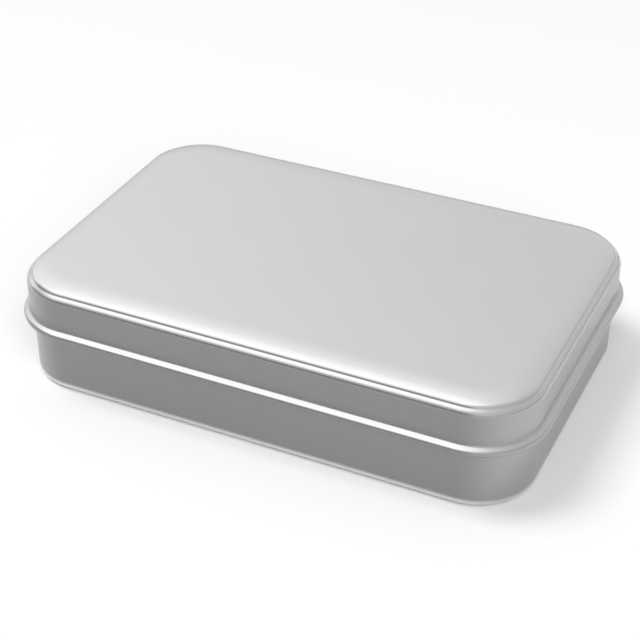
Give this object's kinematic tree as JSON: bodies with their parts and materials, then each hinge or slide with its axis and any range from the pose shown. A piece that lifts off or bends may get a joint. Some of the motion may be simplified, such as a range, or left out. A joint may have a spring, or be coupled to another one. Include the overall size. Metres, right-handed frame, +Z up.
{
  "type": "hinged mint tin",
  "caption": "Shallow rectangular tinplate mint tin with rounded corners, a beaded hinged lid and a wire hinge hidden in the rear bead.",
  "frame": {"origin": "middle of the underside of the closed tin", "axes": "+X along the tin, +Z up; the hinge is at the back, +Y, and the lid's front edge at -Y"},
  "size_m": [0.095, 0.0626, 0.0204],
  "materials": {
    "base_tinplate": "satin drawn tinplate",
    "lid_tinplate": "satin drawn tinplate",
    "hinge_wire": "bright drawn wire"
  },
  "bodies": {
    "base": {"base_shell": "base_tinplate"},
    "lid": {"lid_shell": "lid_tinplate", "hinge_wire": "hinge_wire"}
  },
  "joints": [
    {"name": "lid_hinge", "type": "hinge", "parent": "base", "child": "lid", "pos_m": [0, 0.03068, 0.01192], "axis": [-1, 0, 0], "range_deg": [0, 110]}
  ]
}
